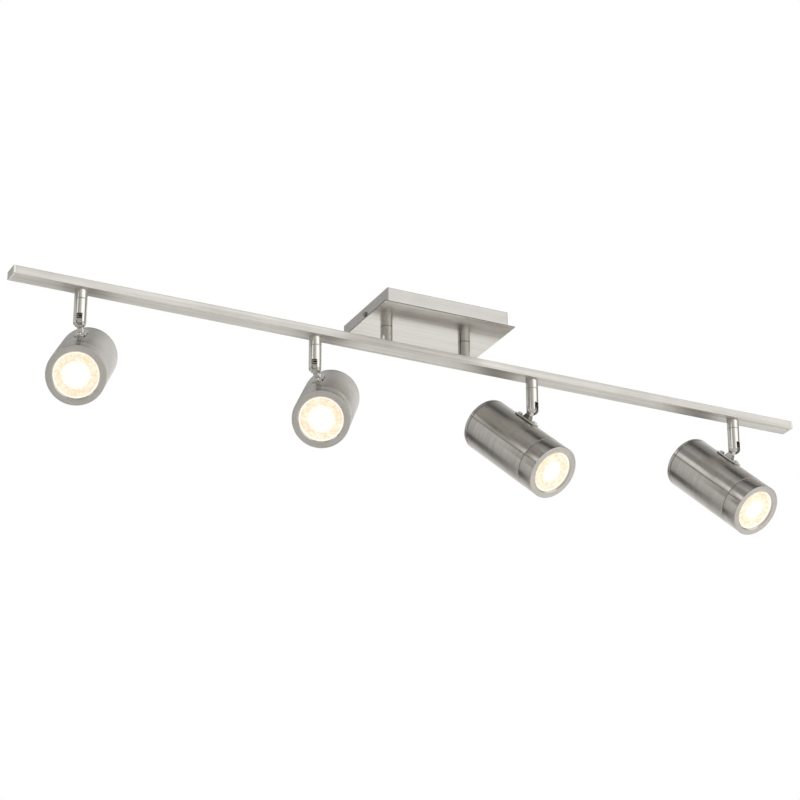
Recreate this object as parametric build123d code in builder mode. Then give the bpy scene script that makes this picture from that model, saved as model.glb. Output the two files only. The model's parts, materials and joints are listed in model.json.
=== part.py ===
from build123d import *
import os
from math import sin, cos, radians

# Four-head ceiling track light: a rectangular canopy on the ceiling, two short
# stems, a straight hollow bar, and four lamp heads, each on a swivel stem
# (turns) with a forked end (tilts).
#
# Millimetres. Origin: centre of the canopy's open top, on the ceiling plane.
# +Z up into the ceiling, +X along the bar, -Y the side the heads aim to.

os.makedirs("parts", exist_ok=True)

# ---------------------------------------------------------------- dimensions
# canopy
CANOPY_W, CANOPY_D, CANOPY_H = 136.0, 103.0, 16.7
CANOPY_WALL, CANOPY_FLOOR = 1.0, 1.2
PLATE_OVER, PLATE_T = 5.2, 1.3
SIDE_SCREW_Z = -8.0

# mounting bracket
BRACKET_T, BRACKET_W = 1.5, 20.0
EAR_X, EAR_DROP, EAR_W = 66.2, 12.0, 16.0
SLOT_SPACING, SLOT_LEN, SLOT_W = 88.9, 14.0, 4.6
CENTRE_HOLE_R = 5.2
GROUND_X = 22.0

# canopy stems
STEM_X, STEM_R, STEM_LEN = 44.2, 6.2, 18.0
STEM_THREAD_R, STEM_BORE_R = 4.0, 2.5

# bar
BAR_L, BAR_D, BAR_H, BAR_WALL = 880.0, 18.5, 8.5, 1.0
CAP_T, CAP_PLUG = 2.4, 6.0

# heads along the bar
HEAD_PITCH = 246.0
HEAD_X = [-1.5 * HEAD_PITCH, -0.5 * HEAD_PITCH, 0.5 * HEAD_PITCH, 1.5 * HEAD_PITCH]
PAN_DEG = [-115.0, -120.5, -68.5, -70.5]      # aim in plan, from +X
TILT_DEG = [33.0, 33.8, 41.6, 42.6]           # aim below level
LEAN_DEG = [4.0, 14.5, 0.0, 0.0]              # sideways set of the knuckle foot

# collar and swivel stem
COLLAR_R, COLLAR_LEN = 6.35, 10.1
COLLAR_THREAD_R, COLLAR_BORE_R = 5.0, 3.55
JOURNAL_R, JOURNAL_BORE_R = 3.5, 2.0
SWIVEL_R = 6.35
SLOT_GAP = 5.6
PIVOT_DROP = 5.8                              # pivot above the fork's tip
PIN_R = 1.75

# head
RO, WALL = 28.6, 1.6
SB, SF = 47.6, 69.3                           # back and front of the head from its saddle
LT = 12.3                                     # pivot to the housing's surface
CAP_RIM, CAP_LIP = 2.4, 6.0
RING_L, RING_SPIGOT, RING_LIP = 21.0, 9.0, 2.2
RI = 21.9
SADDLE_L, SADDLE_W, SADDLE_T = 34.0, 11.5, 1.4
SCREW_S = 12.0
TONGUE_T, TONGUE_W, EYE_R = 4.6, 6.4, 4.2

# ------------------------------------------------------------ derived levels
Z_PLATE_TOP = -CANOPY_H
Z_PLATE_BOT = Z_PLATE_TOP - PLATE_T
Z_BAR_TOP = Z_PLATE_BOT - STEM_LEN
Z_BAR_BOT = Z_BAR_TOP - BAR_H
Z_COLLAR_BOT = Z_BAR_BOT - COLLAR_LEN
Z_SEAM = Z_COLLAR_BOT - 0.2
Z_TIP = Z_SEAM - 28.0
Z_PIVOT = Z_TIP + PIVOT_DROP
Z_FLOOR = -CANOPY_H + CANOPY_FLOOR
Z_BAR_IN_TOP = Z_BAR_TOP - BAR_WALL
Z_BAR_IN_BOT = Z_BAR_BOT + BAR_WALL


def upright(x):
    """Vertical half-plane through a turned piece on the bar's centre line."""
    return Plane(origin=(x, 0, 0), x_dir=(1, 0, 0), z_dir=(0, -1, 0))


# ------------------------------------------------------------------- bracket
with BuildPart() as mounting_bracket:
    with BuildSketch(Plane.XY.offset(-BRACKET_T)):
        Rectangle(2 * EAR_X, BRACKET_W)
        with Locations((-SLOT_SPACING / 2, 0), (SLOT_SPACING / 2, 0)):
            SlotOverall(SLOT_LEN, SLOT_W, mode=Mode.SUBTRACT)
        Circle(CENTRE_HOLE_R, mode=Mode.SUBTRACT)
        with Locations((GROUND_X, 0)):
            Circle(1.6, mode=Mode.SUBTRACT)
    extrude(amount=BRACKET_T)
    with BuildSketch(Plane.XY.offset(-EAR_DROP)):
        with Locations((EAR_X - BRACKET_T / 2, 0), (-EAR_X + BRACKET_T / 2, 0)):
            Rectangle(BRACKET_T, EAR_W)
    extrude(amount=EAR_DROP)
    with BuildSketch(Plane.YZ.offset(-EAR_X - 1)):
        with Locations((0, SIDE_SCREW_Z)):
            Circle(1.6)
    extrude(amount=2 * EAR_X + 2, mode=Mode.SUBTRACT)
    fillet(mounting_bracket.edges().filter_by(Axis.Y).group_by(Axis.Z)[-1], 1.0)
mounting_bracket.part.label = "mounting_bracket"
export_step(mounting_bracket.part, "parts/mounting_bracket.step")

with BuildPart() as ground_screw:
    with BuildSketch(Plane.XY.offset(-BRACKET_T)):
        with Locations((GROUND_X, 0)):
            RegularPolygon(radius=3.9, side_count=6)
    extrude(amount=-2.0)
    with BuildSketch(Plane.XY.offset(-BRACKET_T - 1.0)):
        with Locations((GROUND_X, 0)):
            Circle(1.5)
    extrude(amount=BRACKET_T + 0.8)
ground_screw.part.label = "ground_screw"
export_step(ground_screw.part, "parts/ground_screw.step")

# -------------------------------------------------------------------- canopy
with BuildPart() as canopy_box:
    with BuildSketch(Plane.XY.offset(-CANOPY_H)):
        RectangleRounded(CANOPY_W, CANOPY_D, 1.2)
    extrude(amount=CANOPY_H)
    with BuildSketch(Plane.XY.offset(Z_FLOOR)):
        RectangleRounded(CANOPY_W - 2 * CANOPY_WALL, CANOPY_D - 2 * CANOPY_WALL, 0.4)
    extrude(amount=CANOPY_H, mode=Mode.SUBTRACT)
    with BuildSketch(Plane.XY.offset(-CANOPY_H - 1)):
        with Locations((-STEM_X, 0), (STEM_X, 0)):
            Circle(STEM_THREAD_R + 0.1)
    extrude(amount=4, mode=Mode.SUBTRACT)
    with BuildSketch(Plane.YZ.offset(-CANOPY_W / 2 - 1)):
        with Locations((0, SIDE_SCREW_Z)):
            Circle(1.7)
    extrude(amount=CANOPY_W + 2, mode=Mode.SUBTRACT)
canopy_box.part.label = "canopy_box"
export_step(canopy_box.part, "parts/canopy_box.step")

with BuildPart() as canopy_plate:
    with BuildSketch(Plane.XY.offset(Z_PLATE_BOT)):
        RectangleRounded(CANOPY_W + 2 * PLATE_OVER, CANOPY_D + 2 * PLATE_OVER, 0.8)
        with Locations((-STEM_X, 0), (STEM_X, 0)):
            Circle(STEM_THREAD_R + 0.1, mode=Mode.SUBTRACT)
    extrude(amount=PLATE_T)
    chamfer(canopy_plate.faces().sort_by(Axis.Z)[0].outer_wire().edges(), 0.25)
    chamfer(canopy_plate.faces().sort_by(Axis.Z)[-1].outer_wire().edges(), 0.25)
canopy_plate.part.label = "canopy_plate"
export_step(canopy_plate.part, "parts/canopy_plate.step")

with BuildPart() as canopy_side_screws:
    for side in (-1, 1):
        with BuildSketch(Plane.YZ.offset(side * (CANOPY_W / 2 + 0.02))):
            with Locations((0, SIDE_SCREW_Z)):
                Circle(2.6)
        extrude(amount=side * 1.5)
        with BuildSketch(Plane.YZ.offset(side * (CANOPY_W / 2 + 0.5))):
            with Locations((0, SIDE_SCREW_Z)):
                Circle(1.5)
        extrude(amount=-side * 6.0)
        with BuildSketch(Plane.YZ.offset(side * (CANOPY_W / 2 + 1.6))):
            with Locations((0, SIDE_SCREW_Z)):
                Rectangle(3.4, 0.7)
                Rectangle(0.7, 3.4)
        extrude(amount=-side * 0.8, mode=Mode.SUBTRACT)
canopy_side_screws.part.label = "canopy_side_screws"
export_step(canopy_side_screws.part, "parts/canopy_side_screws.step")

# three-way terminal block on the canopy floor, ports facing the two stems
PORT_Z = -9.0
with BuildPart() as terminal_block:
    with BuildSketch(Plane.XY.offset(Z_FLOOR)):
        RectangleRounded(30.0, 16.0, 1.5)
    extrude(amount=10.0)
    with BuildSketch(Plane.YZ.offset(-16.0)):
        with Locations((-5.0, PORT_Z), (0.0, PORT_Z), (5.0, PORT_Z)):
            Circle(1.45)
    extrude(amount=8.0, mode=Mode.SUBTRACT)
    with BuildSketch(Plane.YZ.offset(16.0)):
        with Locations((-5.0, PORT_Z), (0.0, PORT_Z), (5.0, PORT_Z)):
            Circle(1.45)
    extrude(amount=-8.0, mode=Mode.SUBTRACT)
    with BuildSketch(Plane.XY.offset(Z_FLOOR + 10.0)):
        with Locations((-11.5, -5), (-11.5, 0), (-11.5, 5), (11.5, -5), (11.5, 0), (11.5, 5)):
            Circle(1.3)
    extrude(amount=-1.2, mode=Mode.SUBTRACT)
terminal_block.part.label = "terminal_block"
export_step(terminal_block.part, "parts/terminal_block.step")

# ------------------------------------------------------------- canopy stems
for side, node in ((-1, "canopy_stem_left"), (1, "canopy_stem_right")):
    with BuildPart() as canopy_stem:
        with BuildSketch(upright(side * STEM_X)):
            with BuildLine():
                Polyline(
                    (STEM_BORE_R, -10.5), (STEM_THREAD_R - 0.4, -10.5), (STEM_THREAD_R, -10.9),
                    (STEM_THREAD_R, Z_PLATE_BOT), (STEM_R - 0.2, Z_PLATE_BOT), (STEM_R, Z_PLATE_BOT - 0.2),
                    (STEM_R, Z_BAR_TOP + 0.2), (STEM_R - 0.2, Z_BAR_TOP), (STEM_THREAD_R, Z_BAR_TOP),
                    (STEM_THREAD_R, Z_BAR_TOP - 4.2), (STEM_THREAD_R - 0.4, Z_BAR_TOP - 4.6),
                    (STEM_BORE_R, Z_BAR_TOP - 4.6), close=True)
            make_face()
        revolve(axis=Axis((side * STEM_X, 0, 0), (0, 0, 1)))
    canopy_stem.part.label = node
    export_step(canopy_stem.part, f"parts/{node}.step")

with BuildPart() as stem_nuts:
    with BuildSketch(Plane.XY.offset(Z_FLOOR)):
        with Locations((-STEM_X, 0), (STEM_X, 0)):
            RegularPolygon(radius=6.9, side_count=6)
            Circle(STEM_THREAD_R + 0.04, mode=Mode.SUBTRACT)
    extrude(amount=3.4)
    with BuildSketch(Plane.XY.offset(Z_BAR_IN_TOP)):
        with Locations((-STEM_X, 0), (STEM_X, 0)):
            RegularPolygon(radius=6.9, side_count=6)
            Circle(STEM_THREAD_R + 0.04, mode=Mode.SUBTRACT)
    extrude(amount=-3.0)
stem_nuts.part.label = "stem_nuts"
export_step(stem_nuts.part, "parts/stem_nuts.step")

# ----------------------------------------------------------------------- bar
TUBE_L = BAR_L - 2 * CAP_T
BAR_MID_Z = (Z_BAR_TOP + Z_BAR_BOT) / 2
with BuildPart() as bar_tube:
    with BuildSketch(Plane(origin=(-TUBE_L / 2, 0, BAR_MID_Z), x_dir=(0, 1, 0), z_dir=(1, 0, 0))):
        RectangleRounded(BAR_D, BAR_H, 0.5)
        Rectangle(BAR_D - 2 * BAR_WALL, BAR_H - 2 * BAR_WALL, mode=Mode.SUBTRACT)
    extrude(amount=TUBE_L)
    with BuildSketch(Plane.XY.offset(Z_BAR_TOP + 1)):
        with Locations((-STEM_X, 0), (STEM_X, 0)):
            Circle(STEM_THREAD_R + 0.1)
    extrude(amount=-3, mode=Mode.SUBTRACT)
    with BuildSketch(Plane.XY.offset(Z_BAR_BOT - 1)):
        with Locations(*[(x, 0) for x in HEAD_X]):
            Circle(COLLAR_THREAD_R + 0.1)
    extrude(amount=3, mode=Mode.SUBTRACT)
bar_tube.part.label = "bar_tube"
export_step(bar_tube.part, "parts/bar_tube.step")

for side, node in ((-1, "end_cap_left"), (1, "end_cap_right")):
    face_x = side * TUBE_L / 2
    with BuildPart() as end_cap:
        with BuildSketch(Plane(origin=(face_x, 0, BAR_MID_Z), x_dir=(0, 1, 0), z_dir=(1, 0, 0))):
            RectangleRounded(BAR_D, BAR_H, 0.5)
        extrude(amount=side * CAP_T)
        chamfer(end_cap.faces().sort_by(Axis.X)[-1 if side > 0 else 0].edges(), 0.3)
        with BuildSketch(Plane(origin=(face_x, 0, BAR_MID_Z), x_dir=(0, 1, 0), z_dir=(1, 0, 0))):
            Rectangle(BAR_D - 2 * BAR_WALL - 0.1, BAR_H - 2 * BAR_WALL - 0.1)
        extrude(amount=-side * CAP_PLUG)
    end_cap.part.label = node
    export_step(end_cap.part, f"parts/{node}.step")

# ------------------------------------------------ collars under the bar, x4
with BuildPart() as swivel_collars:
    for x in HEAD_X:
        with BuildSketch(upright(x)):
            with BuildLine():
                Polyline(
                    (COLLAR_BORE_R, Z_COLLAR_BOT), (COLLAR_R - 0.25, Z_COLLAR_BOT),
                    (COLLAR_R, Z_COLLAR_BOT + 0.25), (COLLAR_R, Z_BAR_BOT - 0.02),
                    (COLLAR_THREAD_R, Z_BAR_BOT - 0.02), (COLLAR_THREAD_R, Z_BAR_BOT + 4.3),
                    (COLLAR_THREAD_R - 0.3, Z_BAR_BOT + 4.6), (COLLAR_BORE_R, Z_BAR_BOT + 4.6), close=True)
            make_face()
        revolve(axis=Axis((x, 0, 0), (0, 0, 1)))
swivel_collars.part.label = "swivel_collars"
export_step(swivel_collars.part, "parts/swivel_collars.step")

with BuildPart() as collar_nuts:
    with BuildSketch(Plane.XY.offset(Z_BAR_IN_BOT)):
        with Locations(*[(x, 0) for x in HEAD_X]):
            RegularPolygon(radius=7.5, side_count=6)
            Circle(COLLAR_THREAD_R + 0.04, mode=Mode.SUBTRACT)
    extrude(amount=2.9)
collar_nuts.part.label = "collar_nuts"
export_step(collar_nuts.part, "parts/collar_nuts.step")

# ----------------------------- supply leads, terminal block to the bar's ends
LEAD_R = 1.3
LEAD_Z_LOW = Z_BAR_IN_BOT + LEAD_R + 0.15
LEAD_Z_HIGH = Z_BAR_IN_TOP - LEAD_R - 0.25
LEAD_Y = 6.45
with BuildPart() as supply_leads:
    for side in (-1, 1):
        with BuildLine() as route:
            FilletPolyline(
                (side * 12.0, 0, PORT_Z), (side * 24.0, 0, PORT_Z), (side * 31.0, 0, -5.6),
                (side * STEM_X, 0, -5.6), (side * STEM_X, 0, LEAD_Z_LOW),
                (side * 60.0, 0, LEAD_Z_LOW), (side * 95.0, LEAD_Y, LEAD_Z_HIGH),
                (side * 366.0, LEAD_Y, LEAD_Z_HIGH),
                radius=[6.0, 6.0, 4.0, 2.9, 25.0, 25.0])
        with BuildSketch(Plane(origin=(side * 12.0, 0, PORT_Z), z_dir=(side, 0, 0))):
            Circle(LEAD_R)
        sweep(path=route.wire())
supply_leads.part.label = "supply_leads"
export_step(supply_leads.part, "parts/supply_leads.step")

# --------------------------------------------------------------------- heads
for i in range(4):
    n = i + 1
    x = HEAD_X[i]
    pan, tilt, lean = radians(PAN_DEG[i]), radians(TILT_DEG[i]), radians(LEAN_DEG[i])
    up = Vector(0, 0, 1)
    aim = Vector(cos(pan), sin(pan), 0)            # aim in plan
    side = up.cross(aim)                           # tilt axis
    fwd = aim * cos(tilt) - up * sin(tilt)         # along the head, to its front
    down = aim * -sin(tilt) - up * cos(tilt)       # tongue, pivot to foot
    foot = down * cos(lean) + side * sin(lean)     # saddle normal, towards the head
    across = fwd.cross(foot)
    pivot = Vector(x, 0, Z_PIVOT)
    centre = pivot + foot * (LT + RO)
    axis = Axis(tuple(centre), tuple(fwd))
    # section plane: local x runs along the head, local y away from the saddle
    section = Plane(origin=centre, x_dir=fwd, z_dir=across)

    # swivel stem: journal in the collar, round body, forked end
    with BuildPart() as swivel_stem:
        with BuildSketch(upright(x)):
            with BuildLine():
                Polyline(
                    (JOURNAL_BORE_R, Z_BAR_IN_TOP - 1.8), (JOURNAL_R + 0.8, Z_BAR_IN_TOP - 1.8),
                    (JOURNAL_R + 0.8, Z_BAR_BOT + 4.9), (JOURNAL_R, Z_BAR_BOT + 4.9),
                    (JOURNAL_R, Z_SEAM), (SWIVEL_R - 0.25, Z_SEAM), (SWIVEL_R, Z_SEAM - 0.25),
                    (SWIVEL_R, Z_TIP + 4.5))
                ThreePointArc(
                    (SWIVEL_R, Z_TIP + 4.5),
                    (SWIVEL_R - 4.5 + 4.5 * cos(radians(45)), Z_TIP + 4.5 - 4.5 * sin(radians(45))),
                    (SWIVEL_R - 4.5, Z_TIP))
                Polyline(
                    (SWIVEL_R - 4.5, Z_TIP), (0, Z_TIP), (0, Z_PIVOT + 5.0),
                    (JOURNAL_BORE_R, Z_PIVOT + 5.0), (JOURNAL_BORE_R, Z_BAR_IN_TOP - 1.8))
            make_face()
        revolve(axis=Axis((x, 0, 0), (0, 0, 1)))
        with BuildSketch(Plane(origin=(x, 0, Z_PIVOT + 6.2), x_dir=aim, z_dir=(0, 0, -1))):
            Rectangle(30, SLOT_GAP)
        extrude(amount=20, mode=Mode.SUBTRACT)
        with BuildSketch(Plane(origin=pivot - side * 10, z_dir=side)):
            Circle(PIN_R + 0.01)
        extrude(amount=20, mode=Mode.SUBTRACT)
    swivel_stem.part.label = f"swivel_stem_{n}"
    export_step(swivel_stem.part, f"parts/swivel_stem_{n}.step")

    with BuildPart() as hinge_pin:
        with BuildSketch(Plane(origin=pivot - side * 6.2, z_dir=side)):
            Circle(PIN_R)
        extrude(amount=12.4)
        chamfer(hinge_pin.edges(), 0.25)
    hinge_pin.part.label = f"hinge_pin_{n}"
    export_step(hinge_pin.part, f"parts/hinge_pin_{n}.step")

    # knuckle: eye between the fork's ears, flared foot, flat saddle plate
    with BuildPart() as knuckle:
        with BuildSketch(Plane(origin=pivot - side * (TONGUE_T / 2), x_dir=fwd, z_dir=side)):
            Circle(EYE_R)
            Polygon((-TONGUE_W / 2, 0), (TONGUE_W / 2, 0), (TONGUE_W / 2, 6.6), (-TONGUE_W / 2, 6.6), align=None)
        extrude(amount=TONGUE_T)
        with BuildSketch(Plane(origin=pivot + down * 6.4, x_dir=fwd, z_dir=down)):
            Rectangle(TONGUE_W, TONGUE_T)
        with BuildSketch(Plane(origin=pivot + foot * (LT - SADDLE_T), x_dir=fwd, z_dir=foot)):
            Rectangle(10.5, 5.6)
        loft()
        with BuildSketch(Plane(origin=pivot + foot * (LT - SADDLE_T), x_dir=fwd, z_dir=foot)):
            SlotOverall(SADDLE_L, SADDLE_W)
        extrude(amount=SADDLE_T - 0.02)
        with BuildSketch(Plane(origin=pivot + foot * (LT - SADDLE_T - 1), x_dir=fwd, z_dir=foot)):
            with Locations((-SCREW_S, 0), (SCREW_S, 0)):
                Circle(1.6)
        extrude(amount=SADDLE_T + 2, mode=Mode.SUBTRACT)
        with BuildSketch(Plane(origin=pivot - side * 10, z_dir=side)):
            Circle(PIN_R + 0.05)
        extrude(amount=20, mode=Mode.SUBTRACT)
    knuckle.part.label = f"knuckle_{n}"
    export_step(knuckle.part, f"parts/knuckle_{n}.step")

    # two pan-head screws through saddle, housing and holder strap
    with BuildPart() as saddle_screws:
        with BuildSketch(Plane(origin=pivot + foot * (LT - SADDLE_T - 0.01), x_dir=fwd, z_dir=-foot)):
            with Locations((-SCREW_S, 0), (SCREW_S, 0)):
                Circle(2.75)
        extrude(amount=1.8)
        fillet(saddle_screws.faces().sort_by(Axis(tuple(pivot), tuple(foot * -1)))[-2:].edges(), 0.9)
        with BuildSketch(Plane(origin=pivot + foot * (LT - SADDLE_T - 0.6), x_dir=fwd, z_dir=foot)):
            with Locations((-SCREW_S, 0), (SCREW_S, 0)):
                Circle(1.5)
        extrude(amount=7.0)
        with BuildSketch(Plane(origin=pivot + foot * (LT - SADDLE_T - 2.0), x_dir=fwd, z_dir=foot)):
            with Locations((-SCREW_S, 0), (SCREW_S, 0)):
                Rectangle(3.2, 0.7)
                Rectangle(0.7, 3.2)
        extrude(amount=1.0, mode=Mode.SUBTRACT)
    saddle_screws.part.label = f"saddle_screws_{n}"
    export_step(saddle_screws.part, f"parts/saddle_screws_{n}.step")

    # housing tube
    with BuildPart() as housing:
        with BuildSketch(section):
            with BuildLine():
                Polyline(
                    (-SB + CAP_RIM, RO - WALL), (-SB + CAP_RIM, RO - 0.2), (-SB + CAP_RIM + 0.2, RO),
                    (SF - RING_L - 0.2, RO), (SF - RING_L, RO - 0.2), (SF - RING_L, RO - WALL), close=True)
            make_face()
        revolve(axis=axis)
        with BuildSketch(Plane(origin=pivot + foot * (LT - 2), x_dir=fwd, z_dir=foot)):
            with Locations((-SCREW_S, 0), (SCREW_S, 0)):
                Circle(1.6)
        extrude(amount=8, mode=Mode.SUBTRACT)
    housing.part.label = f"housing_{n}"
    export_step(housing.part, f"parts/housing_{n}.step")

    # rear cap: rim, plug lip and a ring of vent holes
    with BuildPart() as rear_cap:
        with BuildSketch(section):
            with BuildLine():
                Polyline(
                    (-SB, 0), (-SB, RO - 1.2), (-SB + 1.2, RO), (-SB + CAP_RIM - 0.22, RO),
                    (-SB + CAP_RIM - 0.02, RO - 0.2), (-SB + CAP_RIM - 0.02, RO - WALL - 0.05),
                    (-SB + CAP_RIM + CAP_LIP, RO - WALL - 0.05), (-SB + CAP_RIM + CAP_LIP, RO - WALL - 1.6),
                    (-SB + CAP_RIM - 0.4, RO - WALL - 1.6), (-SB + CAP_RIM - 0.4, 0), close=True)
            make_face()
        revolve(axis=axis)
        with BuildSketch(Plane(origin=centre - fwd * (SB + 1), x_dir=foot, z_dir=fwd)):
            with PolarLocations(14.0, 6):
                Circle(2.0)
        extrude(amount=5, mode=Mode.SUBTRACT)
    rear_cap.part.label = f"rear_cap_{n}"
    export_step(rear_cap.part, f"parts/rear_cap_{n}.step")

    # strap inside the housing, with a leg behind the lamp holder
    with BuildPart() as holder_strap:
        with BuildSketch(Plane(origin=centre - foot * 26.25, x_dir=fwd, z_dir=foot)):
            Rectangle(32.0, 12.0)
            with Locations((-SCREW_S, 0), (SCREW_S, 0)):
                Circle(1.55, mode=Mode.SUBTRACT)
        extrude(amount=1.0)
        with BuildSketch(Plane(origin=centre - foot * 25.6, x_dir=fwd, z_dir=foot)):
            with Locations((-0.3, 0)):
                Rectangle(1.0, 12.0)
        extrude(amount=33.0)
    holder_strap.part.label = f"holder_strap_{n}"
    export_step(holder_strap.part, f"parts/holder_strap_{n}.step")

    # lamp holder with the two bayonet holes
    with BuildPart() as lamp_holder:
        with BuildSketch(Plane(origin=centre + fwd * 0.22, x_dir=across, z_dir=fwd)):
            Circle(14.0)
        extrude(amount=20.4)
        chamfer(lamp_holder.edges().filter_by(GeomType.CIRCLE), 0.8)
        with BuildSketch(Plane(origin=centre + fwd * 20.7, x_dir=across, z_dir=-fwd)):
            with Locations((-5, 0), (5, 0)):
                Circle(2.7)
        extrude(amount=8.5, mode=Mode.SUBTRACT)
    lamp_holder.part.label = f"lamp_holder_{n}"
    export_step(lamp_holder.part, f"parts/lamp_holder_{n}.step")

    # reflector lamp, 50 mm, with its twist-lock pins
    LAMP_FRONT = SF - RING_LIP - 0.4
    with BuildPart() as lamp_body:
        with BuildSketch(section):
            with BuildLine():
                Polyline(
                    (20.9, 0), (20.9, 12.6), (21.7, 13.4), (36.0, 14.6), (44.0, 18.6), (53.0, 22.6),
                    (61.5, 24.4), (62.1, 25.0), (LAMP_FRONT - 0.4, 25.0), (LAMP_FRONT, 24.6),
                    (LAMP_FRONT, 23.7), (LAMP_FRONT - 3.2, 23.7), (LAMP_FRONT - 3.2, 0), close=True)
            make_face()
        revolve(axis=axis)
        with BuildSketch(Plane(origin=centre + fwd * 21.2, x_dir=across, z_dir=-fwd)):
            with Locations((-5, 0), (5, 0)):
                Circle(2.35)
        extrude(amount=7.4)
    lamp_body.part.label = f"lamp_body_{n}"
    export_step(lamp_body.part, f"parts/lamp_body_{n}.step")

    with BuildPart() as lamp_lens:
        with BuildSketch(section):
            with BuildLine():
                Polyline((LAMP_FRONT - 0.3, 23.6), (LAMP_FRONT - 3.1, 23.6), (LAMP_FRONT - 3.1, 0), (LAMP_FRONT + 0.3, 0))
                ThreePointArc((LAMP_FRONT + 0.3, 0), (LAMP_FRONT + 0.15, 11.8), (LAMP_FRONT - 0.3, 23.6))
            make_face()
        revolve(axis=axis)
    lamp_lens.part.label = f"lamp_lens_{n}"
    export_step(lamp_lens.part, f"parts/lamp_lens_{n}.step")

    # front ring: spigot in the housing, inward lip in front of the lamp
    with BuildPart() as front_ring:
        with BuildSketch(section):
            with BuildLine():
                Polyline(
                    (SF - RING_L - RING_SPIGOT, RO - WALL - 1.6), (SF - RING_L - RING_SPIGOT, RO - WALL - 0.1),
                    (SF - RING_L + 0.08, RO - WALL - 0.1), (SF - RING_L + 0.08, RO - 0.2), (SF - RING_L + 0.28, RO),
                    (SF - 0.3, RO), (SF, RO - 0.3), (SF, RI + 0.9), (SF - 0.9, RI), (SF - RING_LIP, RI),
                    (SF - RING_LIP, RO - 2.2), (SF - RING_L, RO - 2.2), (SF - RING_L, RO - WALL - 1.6), close=True)
            make_face()
        revolve(axis=axis)
    front_ring.part.label = f"front_ring_{n}"
    export_step(front_ring.part, f"parts/front_ring_{n}.step")
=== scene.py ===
import bpy, bmesh, json, math
from mathutils import Vector, Matrix


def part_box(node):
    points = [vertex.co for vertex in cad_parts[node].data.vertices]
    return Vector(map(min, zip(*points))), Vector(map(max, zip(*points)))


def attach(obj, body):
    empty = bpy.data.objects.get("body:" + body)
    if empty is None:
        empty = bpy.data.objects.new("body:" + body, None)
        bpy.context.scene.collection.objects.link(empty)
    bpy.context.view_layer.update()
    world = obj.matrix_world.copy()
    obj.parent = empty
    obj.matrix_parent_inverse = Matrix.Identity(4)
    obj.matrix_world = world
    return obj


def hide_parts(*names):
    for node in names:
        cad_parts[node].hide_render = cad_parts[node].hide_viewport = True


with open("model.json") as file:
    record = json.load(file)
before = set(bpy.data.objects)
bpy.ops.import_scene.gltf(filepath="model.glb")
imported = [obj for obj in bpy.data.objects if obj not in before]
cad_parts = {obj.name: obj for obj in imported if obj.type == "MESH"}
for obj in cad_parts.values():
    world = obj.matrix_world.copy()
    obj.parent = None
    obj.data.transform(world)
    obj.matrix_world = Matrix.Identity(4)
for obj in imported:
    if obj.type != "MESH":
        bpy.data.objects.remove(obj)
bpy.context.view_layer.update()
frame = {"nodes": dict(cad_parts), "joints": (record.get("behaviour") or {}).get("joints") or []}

NODES = frame["nodes"]
JOINTS = {j["name"]: j for j in frame["joints"]}
MM = 0.001
HEADS = (1, 2, 3, 4)


# ------------------------------------------------------------------ head frames
def head_frame(n):
    """pivot, head axis, foot direction, across direction and axis centre of a head."""
    h = Vector(JOINTS[f"ring_off_{n}"]["axis"]).normalized()
    pivot = Vector(JOINTS[f"tilt_{n}"]["pos_m"])
    lo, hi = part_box(f"housing_{n}")
    centre = (lo + hi) / 2 - h * (1.55 * MM)
    foot = centre - pivot
    foot = (foot - h * foot.dot(h)).normalized()
    return dict(pivot=pivot, h=h, foot=foot, across=h.cross(foot), centre=centre)


HEAD = {n: head_frame(n) for n in HEADS}

# ---------------------------------------------------------------- node building


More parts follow.
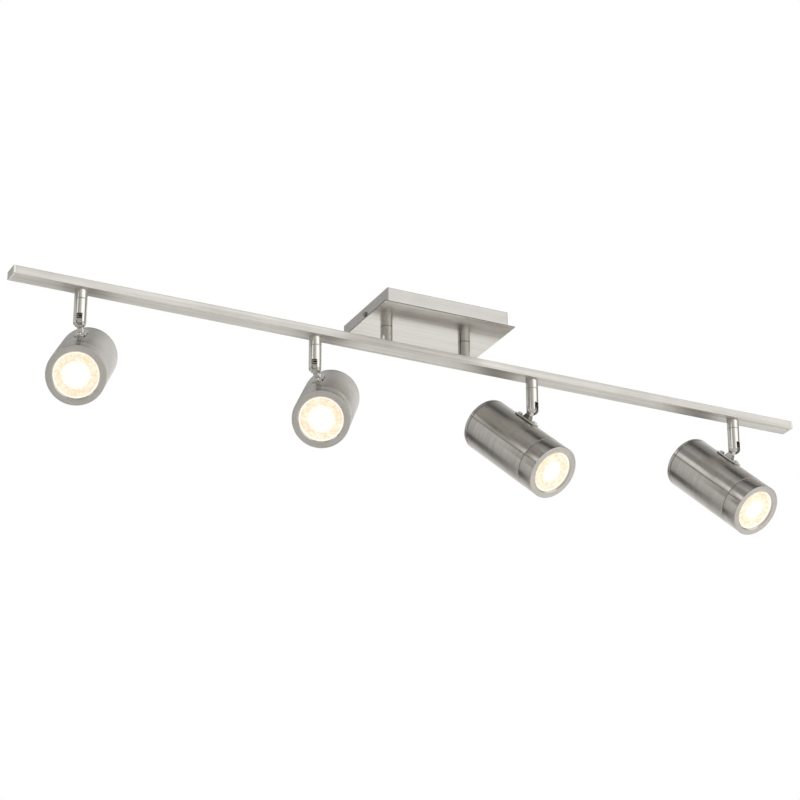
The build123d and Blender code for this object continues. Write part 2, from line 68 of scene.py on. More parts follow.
class Graph:
    """A small helper that builds a shader tree."""

    def __init__(self, tree):
        self.t = tree
        tree.nodes.clear()

    def add(self, kind, **props):
        node = self.t.nodes.new(kind)
        for k, v in props.items():
            setattr(node, k, v)
        return node

    def link(self, a, b):
        self.t.links.new(a, b)

    def put(self, socket, value):
        if isinstance(value, bpy.types.NodeSocket):
            self.link(value, socket)
        elif value is not None:
            socket.default_value = value

    def math(self, op, a, b=None, c=None, clamp=False):
        n = self.add("ShaderNodeMath", operation=op, use_clamp=clamp)
        self.put(n.inputs[0], a)
        if b is not None:
            self.put(n.inputs[1], b)
        if c is not None:
            self.put(n.inputs[2], c)
        return n.outputs[0]

    def vec(self, op, a, b=None, scale=None):
        n = self.add("ShaderNodeVectorMath", operation=op)
        self.put(n.inputs[0], a)
        if b is not None:
            self.put(n.inputs[1], b)
        if scale is not None:
            self.put(n.inputs["Scale"], scale)
        return n.outputs["Value" if op in ("DOT_PRODUCT", "LENGTH") else "Vector"]

    def smooth(self, v, lo, hi, a=0.0, b=1.0):
        n = self.add("ShaderNodeMapRange", interpolation_type="SMOOTHSTEP")
        for i, x in enumerate((v, lo, hi, a, b)):
            self.put(n.inputs[i], x)
        return n.outputs[0]

    def linear(self, v, lo, hi, a=0.0, b=1.0):
        n = self.add("ShaderNodeMapRange", interpolation_type="LINEAR", clamp=True)
        for i, x in enumerate((v, lo, hi, a, b)):
            self.put(n.inputs[i], x)
        return n.outputs[0]

    def window(self, v, lo, hi, soft):
        return self.math("MULTIPLY", self.smooth(v, lo - soft, lo + soft), self.smooth(v, hi - soft, hi + soft, 1.0, 0.0))

    def noise(self, vector, scale, detail=3.0, rough=0.55, distortion=0.0):
        n = self.add("ShaderNodeTexNoise", noise_dimensions="3D")
        self.put(n.inputs["Vector"], vector)
        n.inputs["Scale"].default_value = scale
        n.inputs["Detail"].default_value = detail
        n.inputs["Roughness"].default_value = rough
        n.inputs["Distortion"].default_value = distortion
        return n.outputs["Fac"]

    def mapping(self, vector, scale, rotation=(0, 0, 0), location=(0, 0, 0)):
        n = self.add("ShaderNodeMapping")
        self.put(n.inputs["Vector"], vector)
        n.inputs["Scale"].default_value = scale
        n.inputs["Rotation"].default_value = rotation
        n.inputs["Location"].default_value = location
        return n.outputs[0]

    def mix(self, fac, a, b, blend="MIX"):
        n = self.add("ShaderNodeMix", data_type="RGBA", blend_type=blend)
        self.put(n.inputs[0], fac)
        for s, v in ((n.inputs[6], a), (n.inputs[7], b)):
            if isinstance(v, (tuple, list)):
                v = tuple(v) + (1.0,) * (4 - len(v))
            self.put(s, v)
        return n.outputs[2]

    def combine(self, x, y, z):
        n = self.add("ShaderNodeCombineXYZ")
        for s, v in zip(n.inputs, (x, y, z)):
            self.put(s, v)
        return n.outputs[0]

    def separate(self, v):
        n = self.add("ShaderNodeSeparateXYZ")
        self.put(n.inputs[0], v)
        return n.outputs

    def bump(self, height, strength, distance, normal=None):
        n = self.add("ShaderNodeBump")
        n.inputs["Strength"].default_value = strength
        n.inputs["Distance"].default_value = distance
        self.put(n.inputs["Height"], height)
        if normal is not None:
            self.put(n.inputs["Normal"], normal)
        return n.outputs["Normal"]

    def edge(self, radius):
        """(softened normal, 0..1 along outer edges)."""
        b = self.add("ShaderNodeBevel", samples=4)
        b.inputs["Radius"].default_value = radius
        g = self.add("ShaderNodeNewGeometry")
        d = self.vec("DOT_PRODUCT", b.outputs["Normal"], g.outputs["Normal"])
        return b.outputs["Normal"], self.smooth(d, 0.985, 0.80)


def hollow_shade(g, reach, floor=0.25):
    """Painted shade in narrow gaps: the colour is darkened where little light reaches, 1 on open surfaces."""
    ao = g.add("ShaderNodeAmbientOcclusion", samples=6)
    ao.inputs["Distance"].default_value = reach
    return g.smooth(ao.outputs["AO"], 0.15, 0.62, floor, 1.0)


def darken(g, col, k):
    n = g.add("ShaderNodeVectorMath", operation="SCALE")
    g.put(n.inputs[0], col)
    g.put(n.inputs["Scale"], k)
    return n.outputs["Vector"]


def material(name):
    m = bpy.data.materials.new(name)
    m.use_nodes = True
    g = Graph(m.node_tree)
    out = g.add("ShaderNodeOutputMaterial")
    p = g.add("ShaderNodeBsdfPrincipled")
    g.link(p.outputs[0], out.inputs["Surface"])
    obj = g.add("ShaderNodeTexCoord").outputs["Object"]
    return m, g, p, obj


def shade(c, k):
    return (c[0] * k, c[1] * k, c[2] * k, 1.0)


def brushed(name, base, grain, rough=(0.22, 0.32), tangent=None, aniso=0.6, bump=0.05, streak=0.10, edge=0.0005, along=6.0, slant=0.0, turn=0.0, rim=1.0, band=0.4, painted_edge_light=1.22):
    """Brushed or satin plated metal. grain is the axis of the brush lines, tangent the direction
    that the reflections spread in, both in the object's own axes."""
    m, g, p, obj = material(name)
    sc = {"X": (1, 0, 0), "Y": (0, 1, 0), "Z": (0, 0, 1)}[grain]

    def layer(across, run, rot, loc):
        scale = tuple(run if a else across for a in sc)
        return g.mapping(obj, scale, rot, loc)

    r = math.radians
    rot1 = (0.0, r(slant), r(slant))
    fine = g.noise(layer(5200, along * 7, rot1, (1.7, 3.1, 5.3)), 1.0, 3.0, 0.65)
    mid = g.noise(layer(1350, along * 2.2, rot1, (7.1, 0.3, 2.2)), 1.0, 3.0, 0.6)
    wide = g.noise(layer(330, along, (0, 0, 0), (2.9, 8.8, 4.1)), 1.0, 2.0, 0.5)
    cross = g.noise(layer(2300, along * 9, (0.0, r(-2.6), r(-2.6)), (11.0, 4.0, 9.0)), 1.0, 2.0, 0.6)
    cloud = g.noise(obj, 38.0, 3.0, 0.5)
    lines = g.math("ADD", g.math("MULTIPLY", fine, 0.40), g.math("ADD", g.math("MULTIPLY", mid, 0.36), g.math("MULTIPLY", cross, 0.24)))
    tone = g.linear(g.math("ADD", g.math("MULTIPLY", lines, 1 - band), g.math("MULTIPLY", wide, band)), 0.36, 0.64)
    col = g.mix(tone, shade(base, 1 - streak), shade(base, 1 + streak * 0.6))
    nrm, edge_band = g.edge(edge)
    edge_rub_and_painted_light = g.math("MULTIPLY", edge_band, g.smooth(cloud, 0.35, 0.65, 0.45, 1.0))
    # painted light along the edges: a painted highlight where the edge factor is above 1, painted shade where it is
    # below 1; the same mask also lowers the roughness there
    col = g.mix(g.math("MULTIPLY", edge_rub_and_painted_light, 0.5 if painted_edge_light > 1 else 0.9), col, shade(base, painted_edge_light))
    # painted shade in crevices: colour darkened where the occlusion test finds nearby surfaces
    col = darken(g, col, hollow_shade(g, 0.0016, 0.30))
    # painted shade: upright faces, whose normal lies near the horizontal, are darkened down to the factor rim
    if rim < 1.0:
        nz = g.math("ABSOLUTE", g.separate(g.add("ShaderNodeTexCoord").outputs["Normal"])[2])
        col = darken(g, col, g.smooth(nz, 0.25, 0.75, rim, 1.0))
    g.put(p.inputs["Base Color"], col)
    rr = g.linear(g.math("ADD", g.math("MULTIPLY", lines, 0.55), g.math("MULTIPLY", cloud, 0.45)), 0.38, 0.62, rough[0], rough[1])
    rr = g.math("SUBTRACT", rr, g.math("MULTIPLY", edge_rub_and_painted_light, 0.06))
    g.put(p.inputs["Roughness"], rr)
    p.inputs["Metallic"].default_value = 1.0
    g.put(p.inputs["Normal"], g.bump(lines, bump, 0.0002, nrm))
    if aniso and tangent:
        p.inputs["Anisotropic"].default_value = aniso
        p.inputs["Anisotropic Rotation"].default_value = turn
        t = g.add("ShaderNodeVectorTransform", vector_type="VECTOR", convert_from="OBJECT", convert_to="WORLD")
        t.inputs[0].default_value = tangent
        g.link(t.outputs[0], p.inputs["Tangent"])
    return m


def turned(name, base, n, rough=(0.18, 0.24), aniso=0.90, bump=0.02, streak=0.06, edge=0.0004, origin=None, axis=None):
    """Metal brushed or turned round an axis: the lines run round it, on the sides and on the end faces."""
    m, g, p, obj = material(name)
    c = origin if origin is not None else HEAD[n]["centre"]
    h = axis if axis is not None else HEAD[n]["h"]
    rel = g.vec("SUBTRACT", obj, tuple(c))
    s = g.vec("DOT_PRODUCT", rel, tuple(h))
    radial = g.vec("SUBTRACT", rel, g.vec("SCALE", tuple(h), scale=s))
    rho = g.vec("LENGTH", radial)
    unit = g.vec("NORMALIZE", radial)
    line = g.math("ADD", s, rho)

    def layer(across, run, off):
        a = g.vec("SCALE", unit, scale=run)
        b = g.vec("SCALE", tuple(h), scale=g.math("MULTIPLY", line, across))
        return g.vec("ADD", g.vec("ADD", a, b), (off, off * 1.7, off * 0.6))

    fine = g.noise(layer(5200, 2.6, 1.3), 1.0, 3.0, 0.65)
    mid = g.noise(layer(1500, 1.1, 4.7), 1.0, 3.0, 0.6)
    wide = g.noise(layer(260, 0.7, 9.1), 1.0, 2.0, 0.5)
    cloud = g.noise(obj, 55.0, 3.0, 0.5)
    lines = g.math("ADD", g.math("MULTIPLY", fine, 0.55), g.math("MULTIPLY", mid, 0.45))
    tone = g.linear(g.math("ADD", g.math("MULTIPLY", lines, 0.65), g.math("MULTIPLY", wide, 0.35)), 0.36, 0.64)
    col = g.mix(tone, shade(base, 1 - streak), shade(base, 1 + streak * 0.6))
    nrm, edge_band = g.edge(edge)
    edge_rub_and_painted_light = g.math("MULTIPLY", edge_band, g.smooth(cloud, 0.35, 0.65, 0.45, 1.0))
    # painted highlight: the edges are brightened to 1.22 times the base colour
    col = g.mix(g.math("MULTIPLY", edge_rub_and_painted_light, 0.45), col, shade(base, 1.22))
    # painted shade in crevices: colour darkened where the occlusion test finds nearby surfaces
    col = darken(g, col, hollow_shade(g, 0.0020, 0.25))
    g.put(p.inputs["Base Color"], col)
    rr = g.linear(g.math("ADD", g.math("MULTIPLY", lines, 0.55), g.math("MULTIPLY", cloud, 0.45)), 0.38, 0.62, rough[0], rough[1])
    rr = g.math("SUBTRACT", rr, g.math("MULTIPLY", edge_rub_and_painted_light, 0.05))
    g.put(p.inputs["Roughness"], rr)
    p.inputs["Metallic"].default_value = 1.0
    g.put(p.inputs["Normal"], g.bump(lines, bump, 0.0002, nrm))
    p.inputs["Anisotropic"].default_value = aniso
    p.inputs["Anisotropic Rotation"].default_value = 0.25
    around = g.vec("CROSS_PRODUCT", tuple(h), unit)
    t = g.add("ShaderNodeVectorTransform", vector_type="VECTOR", convert_from="OBJECT", convert_to="WORLD")
    g.link(around, t.inputs[0])
    g.link(t.outputs[0], p.inputs["Tangent"])
    return m


def plain(name, base, rough, metallic=0.0, grain=900.0, var=0.06, bump=0.08, spec=0.5, coat=0.0, edge=0.0003, edge_glint=1.15, shade_reach=(0.0030, 0.12)):
    """Moulded, glazed, plated or painted surface with fine grain, soft mottling, a painted highlight along its edges
    and, on metal, painted shade in its crevices.
    """
    m, g, p, obj = material(name)
    fine = g.noise(obj, grain, 4.0, 0.6)
    cloud = g.noise(obj, grain * 0.09, 3.0, 0.5)
    nrm, edge_band = g.edge(edge)
    col = g.mix(g.linear(g.math("ADD", g.math("MULTIPLY", fine, 0.4), g.math("MULTIPLY", cloud, 0.6)), 0.35, 0.65), shade(base, 1 - var), shade(base, 1 + var * 0.5))
    # painted highlight along the edges, brightened by the edge factor
    col = g.mix(g.math("MULTIPLY", edge_band, g.smooth(cloud, 0.35, 0.6, 0.2, 0.6)), col, shade(base, edge_glint))
    if metallic:
        # painted shade in the crevices of metal parts; the pair gives its reach and its darkest factor
        col = darken(g, col, hollow_shade(g, *shade_reach))
    g.put(p.inputs["Base Color"], col)
    g.put(p.inputs["Roughness"], g.linear(g.math("ADD", g.math("MULTIPLY", fine, 0.5), g.math("MULTIPLY", cloud, 0.5)), 0.35, 0.65, rough[0], rough[1]))
    p.inputs["Metallic"].default_value = metallic
    p.inputs["Specular IOR Level"].default_value = spec
    p.inputs["Coat Weight"].default_value = coat
    g.put(p.inputs["Normal"], g.bump(fine, bump, 0.0002, nrm))
    return m


# -------------------------------------------------------------------- materials
NICKEL = (0.665, 0.645, 0.61)
NICKEL_HEAD = (0.60, 0.575, 0.54)
POLISHED = (0.72, 0.70, 0.66)

# bar, canopy and plate: painted shade on their edges (edge factor below 1); the plate also gets painted shade on its
# upright front edge; the bar ends get a painted edge highlight
mat_bar = brushed("nickel_bar", NICKEL, "X", tangent=(1.0, 0.0, 0.0), turn=0.25, rough=(0.38, 0.48), aniso=0.35, streak=0.18, along=4.0, slant=0.35, band=0.62, painted_edge_light=0.70)
mat_bar_end = brushed("nickel_bar_end", NICKEL, "Y", rough=(0.22, 0.32), aniso=0.0, streak=0.09, along=20.0)
mat_canopy = brushed("nickel_canopy", (0.50, 0.487, 0.465), "X", rough=(0.22, 0.32), tangent=(0.05, 0.03, 1.0), aniso=0.5, streak=0.10, along=9.0, edge=0.0008, painted_edge_light=0.40)
mat_plate = brushed("nickel_plate", NICKEL, "X", rough=(0.15, 0.24), tangent=(0.02, 1.0, 0.15), aniso=0.35, streak=0.12, along=6.0, rim=0.22, band=0.6, edge=0.0006, painted_edge_light=0.5)
# plated hardware: painted shade reaching 4 mm into crevices and a painted highlight on its edges
mat_plated = plain("bright_plated", (0.76, 0.75, 0.72), (0.06, 0.12), metallic=1.0, grain=1400, var=0.08, bump=0.04, shade_reach=(0.0040, 0.06))
mat_zinc = plain("zinc_plate", (0.62, 0.63, 0.645), (0.28, 0.42), metallic=1.0, grain=420, var=0.14, bump=0.10)
mat_brass = plain("turned_brass", (0.80, 0.64, 0.34), (0.20, 0.34), metallic=1.0, grain=900, var=0.12, bump=0.06)
# green ground screw: strong painted highlight on its edges
mat_green = plain("green_ground", (0.05, 0.30, 0.10), (0.30, 0.45), metallic=0.0, grain=1500, var=0.12, bump=0.08, coat=0.2, edge_glint=2.2)
mat_plastic = plain("moulded_plastic", (0.80, 0.80, 0.76), (0.38, 0.52), grain=1800, var=0.04, bump=0.10)
mat_lead = plain("lead_sheath", (0.78, 0.77, 0.72), (0.42, 0.55), grain=1600, var=0.06, bump=0.12)
mat_ceramic = plain("glazed_ceramic", (0.86, 0.85, 0.80), (0.14, 0.28), grain=700, var=0.05, bump=0.05, coat=0.4)
mat_shell = plain("lamp_shell", (0.84, 0.84, 0.81), (0.26, 0.40), grain=1200, var=0.04, bump=0.06)


def stem_material(name, x, rough, base=POLISHED):
    return turned(name, base, None, rough=rough, aniso=0.25, bump=0.02, streak=0.06, edge=0.0003,
                  origin=Vector((x, 0, 0)), axis=Vector((0, 0, 1)))


def stud(node):
    lo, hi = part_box(node)
    return (lo.x + hi.x) / 2


def dress(node, mat):
    o = NODES[node]
    for i in range(len(o.data.materials)):
        o.data.materials[i] = mat
    if not o.data.materials:
        o.data.materials.append(mat)
    return o


dress("bar_tube", mat_bar)
dress("end_cap_left", mat_bar_end)
dress("end_cap_right", mat_bar_end)
dress("canopy_box", mat_canopy)
dress("canopy_plate", mat_plate)
dress("canopy_stem_left", stem_material("nickel_stem_left", stud("canopy_stem_left"), (0.09, 0.15), NICKEL))
dress("canopy_stem_right", stem_material("nickel_stem_right", stud("canopy_stem_right"), (0.09, 0.15), NICKEL))
dress("swivel_collars", plain("nickel_collars", POLISHED, (0.12, 0.20), metallic=1.0, grain=1500, var=0.06, bump=0.03))
dress("canopy_side_screws", plain("side_screws", (0.40, 0.385, 0.36), (0.16, 0.26), metallic=1.0, grain=1400, var=0.08, bump=0.05, shade_reach=(0.0040, 0.10)))
dress("mounting_bracket", mat_zinc)
dress("ground_screw", mat_green)
dress("stem_nuts", mat_brass)
dress("collar_nuts", mat_brass)
dress("terminal_block", mat_plastic)
dress("supply_leads", mat_lead)


# ------------------------------------------------------------------ mesh pieces
def fillet(points, seg=5):
    """Profile corners (s, r, radius) in mm, rounded: a list of (s, r)."""
    out = []
    n = len(points)
    for i, (s, r, rad) in enumerate(points):
        p = Vector((s, r))
        if rad <= 0:
            out.append(p)
            continue
        a = (Vector(points[i - 1][:2]) - p)
        b = (Vector(points[(i + 1) % n][:2]) - p)
        la, lb = a.length, b.length
        a.normalize(); b.normalize()
        half = a.angle(b) / 2
        cut = min(rad / math.tan(half), 0.45 * la, 0.45 * lb)
        rr = cut * math.tan(half)
        mid = (a + b).normalized()
        centre = p + mid * (rr / math.sin(half))
        p0, p1 = p + a * cut, p + b * cut
        v0, v1 = p0 - centre, p1 - centre
        total = v0.angle_signed(v1)
        for k in range(seg + 1):
            v = v0.copy()
            v.rotate(Matrix.Rotation(-total * k / seg, 2))
            out.append(centre + v)
    return [(p.x, p.y) for p in out]


def lathe(name, n, profile, segments=224, closed=True, extra=None):
    """Turns a profile of (s, r) in mm about a head's axis, in place."""
    f = HEAD[n]
    bm = bmesh.new()
    rings = []
    for s, r in profile:
        if r < 1e-6:
            rings.append([bm.verts.new(f["centre"] + f["h"] * (s * MM))])
            continue
        ring = []
        for k in range(segments):
            a = 2 * math.pi * k / segments
            d = f["foot"] * math.cos(a) + f["across"] * math.sin(a)
            ds = extra(s, r, a) if extra else 0.0
            ring.append(bm.verts.new(f["centre"] + f["h"] * ((s + ds) * MM) + d * (r * MM)))
        rings.append(ring)
    last = len(rings) if closed else len(rings) - 1
    for i in range(last):
        a, b = rings[i], rings[(i + 1) % len(rings)]
        if len(a) == 1 and len(b) == 1:
            continue
        for k in range(segments):
            k2 = (k + 1) % segments
            if len(a) == 1:
                bm.faces.new((a[0], b[k2], b[k]))
            elif len(b) == 1:
                bm.faces.new((a[k], a[k2], b[0]))
            else:
                bm.faces.new((a[k], a[k2], b[k2], b[k]))
    bmesh.ops.recalc_face_normals(bm, faces=bm.faces)
    me = bpy.data.meshes.new(name)
    bm.to_mesh(me)
    bm.free()
    for poly in me.polygons:
        poly.use_smooth = True
    me.set_sharp_from_angle(angle=math.radians(38))
    ob = bpy.data.objects.new(name, me)
    bpy.context.scene.collection.objects.link(ob)
    return ob


RO, WALL, SB, SF = 28.6, 1.6, 47.6, 69.3
CAP_RIM, RING_L, RING_SPIGOT, RING_LIP, RI = 2.4, 21.0, 9.0, 2.2, 21.9
LENS = SF - RING_LIP - 0.4


def lens_material(n):
    """Clear faceted front of a lit reflector lamp: white centre, cream facets, bright rim."""
    m, g, p, obj = material(f"lamp_lit_{n}")
    f = HEAD[n]
    rel = g.vec("SUBTRACT", obj, tuple(f["centre"]))
    x = g.math("MULTIPLY", g.vec("DOT_PRODUCT", rel, tuple(f["foot"])), 1000.0)
    y = g.math("MULTIPLY", g.vec("DOT_PRODUCT", rel, tuple(f["across"])), 1000.0)
    rho = g.math("SQRT", g.math("ADD", g.math("MULTIPLY", x, x), g.math("MULTIPLY", y, y)))
    soft = g.noise(obj, 420.0, 3.0, 0.6)
    blot = g.noise(obj, 150.0, 4.0, 0.65)
    fleck = g.noise(obj, 620.0, 2.0, 0.7)
    cells = g.add("ShaderNodeTexVoronoi", voronoi_dimensions="3D", feature="F1")
    g.put(cells.inputs["Vector"], obj)
    cells.inputs["Scale"].default_value = 520.0
    pick = g.separate(cells.outputs["Color"])
    inner, soft_in, jitter = (13.3, 0.55, 0.6) if n < 3 else (11.0, 2.0, 1.2)
    r2 = g.math("ADD", rho, g.math("MULTIPLY", g.math("SUBTRACT", pick[0], 0.5), jitter))
    ring = g.math("MULTIPLY", g.smooth(r2, inner - soft_in, inner + soft_in), g.smooth(r2, 19.9, 21.0, 1.0, 0.0))
    warm = g.math("MULTIPLY", g.smooth(g.math("ADD", g.math("MULTIPLY", blot, 0.7), g.math("MULTIPLY", pick[1], 0.3)), 0.40, 0.66), 0.95)
    cream = g.mix(warm, (0.99, 0.83, 0.64), (0.95, 0.68, 0.45))
    cream = g.mix(g.math("MULTIPLY", g.smooth(pick[2], 0.60, 0.90), 0.7), cream, (1.0, 0.93, 0.80))
    grey = g.mix(g.math("MULTIPLY", g.smooth(pick[2], 0.20, 0.05), 0.5), cream, (0.76, 0.60, 0.44))
    centre = g.mix(g.math("MULTIPLY", g.smooth(rho, 3.0, 14.0), g.smooth(pick[1], 0.2, 0.9, 0.35, 1.0)), (1.0, 1.0, 0.97), (1.0, 0.93, 0.80))
    col = g.mix(g.math("MULTIPLY", ring, 1.0), centre, grey)
    g.put(p.inputs["Base Color"], g.mix(ring, (0.10, 0.10, 0.09), (0.14, 0.12, 0.10)))
    g.put(p.inputs["Roughness"], g.linear(soft, 0.3, 0.7, 0.10, 0.26))
    g.put(p.inputs["Emission Color"], col)
    p.inputs["Emission Strength"].default_value = 1.0
    p.inputs["Specular IOR Level"].default_value = 0.5
    g.put(p.inputs["Normal"], g.bump(fleck, 0.15, 0.0003))
    return m


def facets(s, r, a):
    """Rows of small pillow lenses round the clear front, under its flat centre."""
    if r < 13.995 or r > 22.59:
        return 0.0
    row = min(3, int((r - 14.0) / 2.15 + 1e-9))
    count = (40, 46, 52, 58)[row]
    u = ((r - 14.0) / 2.15) % 1.0
    v = (a * count / (2 * math.pi) + 0.5 * (row % 2)) % 1.0
    return -0.42 + 0.42 * (math.sin(math.pi * u) * math.sin(math.pi * v)) ** 0.6


for n in HEADS:
    head, ring, swivel = f"head_{n}", f"ring_{n}", f"swivel_{n}"
    metal = turned(f"nickel_head_{n}", NICKEL_HEAD, n, streak=0.13)
    face = turned(f"nickel_ring_{n}", NICKEL_HEAD, n, streak=0.13)

    tube = lathe(f"housing_shell_{n}", n, fillet([
        (-SB + CAP_RIM + 0.05, RO - WALL, 0.15), (-SB + CAP_RIM + 0.05, RO, 0.15),
        (-SB + 4.4, RO, 0.25), (-SB + 4.4, RO - 0.9, 0.1), (-SB + 5.3, RO - 0.9, 0.1), (-SB + 5.3, RO, 0.25),
        (SF - RING_L, RO, 0.40), (SF - RING_L, RO - WALL, 0.15)]))
    tube.data.materials.append(metal)
    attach(tube, head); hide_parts(f"housing_{n}")

    front = lathe(f"front_bezel_{n}", n, fillet([
        (SF - RING_L - RING_SPIGOT, RO - WALL - 1.6, 0.2), (SF - RING_L - RING_SPIGOT, RO - WALL - 0.1, 0.3),
        (SF - RING_L + 0.6, RO - WALL - 0.1, 0.0), (SF - RING_L + 0.6, RO, 0.35),
        (SF, RO, 0.45), (SF, RI + 0.9, 0.2), (SF - 0.9, RI, 0.2), (SF - RING_LIP, RI, 0.15),
        (SF - RING_LIP, RO - 2.2, 0.2), (SF - RING_L, RO - 2.2, 0.3), (SF - RING_L, RO - WALL - 1.6, 0.2)]))
    front.data.materials.append(face)
    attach(front, ring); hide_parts(f"front_ring_{n}")

    radii = [0.0, 1.5, 3, 5, 7, 9, 11, 12.5, 13.6, 13.99] + [14.0 + 2.15 * k / 8 for k in range(33)] + [22.9, 23.3, 23.6]
    prof = [(LENS + 0.3 - 0.6 * (r / 23.6) ** 2, r) for r in radii]
    prof += [(LENS - 3.0, 23.6), (LENS - 3.0, 0.0)]
    lens = lathe(f"lens_front_{n}", n, prof, segments=240, closed=False, extra=lambda s, r, a: facets(s, r, a) if s > LENS - 1 else 0.0)
    lens.data.materials.append(lens_material(n))
    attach(lens, head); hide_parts(f"lamp_lens_{n}")

    dress(f"rear_cap_{n}", metal)
    dress(f"swivel_stem_{n}", stem_material(f"nickel_swivel_{n}", HEAD[n]["pivot"].x, (0.11, 0.18)))
    # knuckle: strong painted highlight on its edges and painted shade reaching 6 mm into the gap under the saddle
    dress(f"knuckle_{n}", plain(f"nickel_knuckle_{n}", (0.60, 0.58, 0.545), (0.05, 0.10), metallic=1.0, grain=1300, var=0.08, bump=0.04, edge=0.0006, edge_glint=1.6, shade_reach=(0.0060, 0.05)))
    dress(f"hinge_pin_{n}", mat_plated)
    dress(f"saddle_screws_{n}", mat_plated)
    dress(f"holder_strap_{n}", mat_zinc)
    dress(f"lamp_holder_{n}", mat_ceramic)
    dress(f"lamp_body_{n}", mat_shell)

# ------------------------------------------------------------------------ world
world = bpy.data.worlds.new("studio")
bpy.context.scene.world = world
world.use_nodes = True
g = Graph(world.node_tree)
out = g.add("ShaderNodeOutputWorld")
d = g.add("ShaderNodeTexCoord").outputs["Generated"]
sx, sy, sz = g.separate(d)
az = g.math("ARCTAN2", sx, g.math("MULTIPLY", sy, -1.0))   # from -Y towards +X
el = g.math("ARCSINE", sz)
R = math.radians


def lobe(azd, eld, inner, outer):
    a, e = R(azd), R(eld)
    v = (math.sin(a) * math.cos(e), -math.cos(a) * math.cos(e), math.sin(e))
    return g.smooth(g.vec("DOT_PRODUCT", d, v), math.cos(R(outer)), math.cos(R(inner)))


# long strip lights and dark gaps lying along one slanted direction
H = (0.2599, -0.6949, -0.6705)
F = (-0.2456, 0.6239, -0.7419)
W = (0.9339, 0.3575, -0.0085)
q = g.vec("DOT_PRODUCT", d, H)
phi = g.math("ARCTAN2", g.vec("DOT_PRODUCT", d, W), g.vec("DOT_PRODUCT", d, F))
turn = g.math("FRACT", g.math("ADD", g.math("DIVIDE", phi, 2 * math.pi), 1.0))
STRIPS = [(0, .05), (6, .08), (12, .36), (20, .60), (32, .74), (44, .80), (54, .98), (64, 1.06), (80, .94), (92, .93), (104, .84),
          (118, .84), (128, .56), (158, .34), (168, .24), (174, .06), (184, .08), (192, .32), (204, .44), (216, .62), (225, .34), (240, .36),
          (246, .54), (250, 1.18), (264, 1.18), (267, .22), (271, .28), (274, .78), (300, .70), (332, .54), (341, .36), (347, .05)]
ramp = g.add("ShaderNodeValToRGB")
ramp.color_ramp.interpolation = "LINEAR"
els = ramp.color_ramp.elements
while len(els) < len(STRIPS):
    els.new(0.5)
for e, (deg, v) in zip(els, STRIPS):
    e.position = deg / 360.0
    e.color = (v, v, v, 1)
g.link(turn, ramp.inputs[0])
strip = g.math("MULTIPLY", ramp.outputs[0], g.smooth(q, -0.84, -0.68, 0.66, 1.0))
where = g.window(q, -0.86, 0.06, 0.04)

base = 0.60
level = g.math("ADD", base, g.math("MULTIPLY", lobe(28, 26, 18, 36), 0.86))
level = g.math("SUBTRACT", level, g.math("MULTIPLY", g.math("MULTIPLY", g.window(az, R(66), R(126), R(9)), g.window(el, R(-8), R(58), R(10))), 0.40))
level = g.math("SUBTRACT", level, g.math("MULTIPLY", g.math("MULTIPLY", g.window(az, R(-80), R(-42), R(10)), g.window(el, R(0), R(48), R(10))), 0.22))
level = g.math("SUBTRACT", level, g.math("MULTIPLY", lobe(0, 90, 8, 30), 0.25))
level = g.math("SUBTRACT", level, g.math("MULTIPLY", lobe(-158, 22, 12, 30), -0.05))
level = g.math("SUBTRACT", level, g.math("MULTIPLY", g.math("MULTIPLY", g.window(az, R(130), R(158), R(8)), g.window(el, R(8), R(44), R(7))), 0.42))
behind = g.math("ABSOLUTE", az)
level = g.math("SUBTRACT", level, g.math("MULTIPLY", g.math("MULTIPLY", g.smooth(behind, R(156), R(168)), g.window(el, R(10), R(40), R(6))), 0.30))
level = g.math("ADD", g.math("MULTIPLY", level, g.math("SUBTRACT", 1.0, where)), g.math("MULTIPLY", strip, where))
tint = g.mix(1.0, (1.0, 0.995, 0.98), (1.0, 0.995, 0.98))
bg = g.add("ShaderNodeBackground")
g.link(tint, bg.inputs["Color"])
g.link(level, bg.inputs["Strength"])
white = g.add("ShaderNodeBackground")
white.inputs["Color"].default_value = (1, 1, 1, 1)
white.inputs["Strength"].default_value = 1.0
lp = g.add("ShaderNodeLightPath")
mixs = g.add("ShaderNodeMixShader")
g.link(lp.outputs["Is Camera Ray"], mixs.inputs[0])
g.link(bg.outputs[0], mixs.inputs[1])
g.link(white.outputs[0], mixs.inputs[2])
g.link(mixs.outputs[0], out.inputs["Surface"])

# ------------------------------------------------------------------------ floor
bm = bmesh.new()
bmesh.ops.create_grid(bm, x_segments=8, y_segments=8, size=14.0)
fm = bpy.data.meshes.new("floor")
bm.to_mesh(fm); bm.free()
floor = bpy.data.objects.new("floor", fm)
floor.location = (0, 0, -2.2)
bpy.context.scene.collection.objects.link(floor)
fmat, g, p, obj = material("pale_floor")
fn = g.noise(obj, 3.0, 4.0, 0.5)
g.put(p.inputs["Base Color"], g.mix(fn, (0.84, 0.84, 0.83), (0.88, 0.88, 0.87)))
p.inputs["Roughness"].default_value = 0.7
p.inputs["Specular IOR Level"].default_value = 0.2
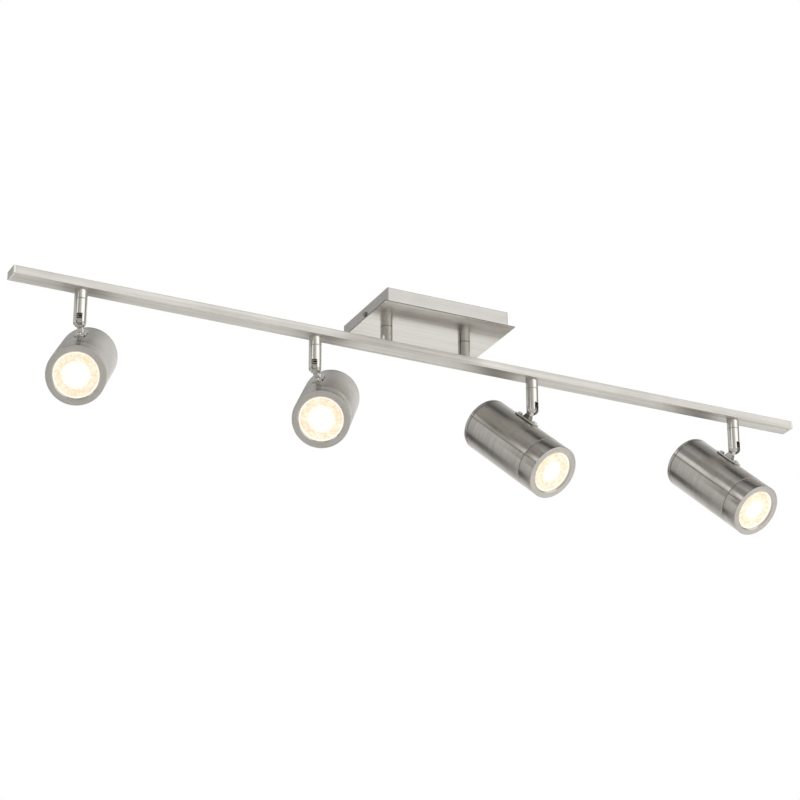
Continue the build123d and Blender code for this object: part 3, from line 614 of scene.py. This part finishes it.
# seen from underneath the floor lets the view through
under = g.add("ShaderNodeMixShader")
g.link(g.add("ShaderNodeNewGeometry").outputs["Backfacing"], under.inputs[0])
g.link(p.outputs[0], under.inputs[1])
g.link(g.add("ShaderNodeBsdfTransparent").outputs[0], under.inputs[2])
out = next(x for x in fmat.node_tree.nodes if x.type == "OUTPUT_MATERIAL")
g.link(under.outputs[0], out.inputs["Surface"])
fm.materials.append(fmat)


# ----------------------------------------------------------------------- lights
def area(name, loc, target, size, energy, glossy):
    l = bpy.data.lights.new(name, "AREA")
    l.shape = "DISK"
    l.size = size
    l.energy = energy
    l.color = (1.0, 0.99, 0.97)
    o = bpy.data.objects.new(name, l)
    o.location = loc
    o.rotation_mode = "QUATERNION"
    o.rotation_quaternion = (Vector(target) - Vector(loc)).to_track_quat("-Z", "Y")
    o.visible_glossy = glossy
    o.visible_camera = False
    bpy.context.scene.collection.objects.link(o)
    return o


area("back_wash", (2.6, 5.0, 1.6), (2.6, 5.4, -2.2), 4.0, 125.0, False)
area("side_wash", (4.0, -1.0, 1.4), (4.0, -1.2, -2.2), 3.0, 52.0, False)
area("front_wash", (2.8, -5.2, 1.4), (2.8, -5.2, -2.2), 3.0, 90.0, False)
area("soft_key", (1.6, -3.0, 1.2), (0, 0, -0.08), 1.6, 26.0, False)

# ----------------------------------------------------------------------- camera
cam = bpy.data.cameras.new("camera")
cam.sensor_width = 36.0
cam.lens = 2589.5 / 800 * 36.0
cam.clip_start, cam.clip_end = 0.05, 100.0
camera = bpy.data.objects.new("camera", cam)
yaw, pitch, roll = R(-26.361), R(23.256), R(-0.216)
fwd = Vector((math.sin(-yaw) * math.cos(pitch), math.cos(-yaw) * math.cos(pitch), math.sin(pitch)))
right = fwd.cross(Vector((0, 0, 1))).normalized()
up = right.cross(fwd)
r2 = right * math.cos(roll) + up * math.sin(roll)
u2 = -right * math.sin(roll) + up * math.cos(roll)
rot = Matrix((r2, u2, -fwd)).transposed().to_4x4()
camera.matrix_world = Matrix.Translation(Vector((-1.08826, -2.13713, -1.11993))) @ rot
bpy.context.scene.collection.objects.link(camera)
bpy.context.scene.camera = camera
bpy.context.scene.view_settings.view_transform = "Standard"
bpy.context.scene.view_settings.look = "None"
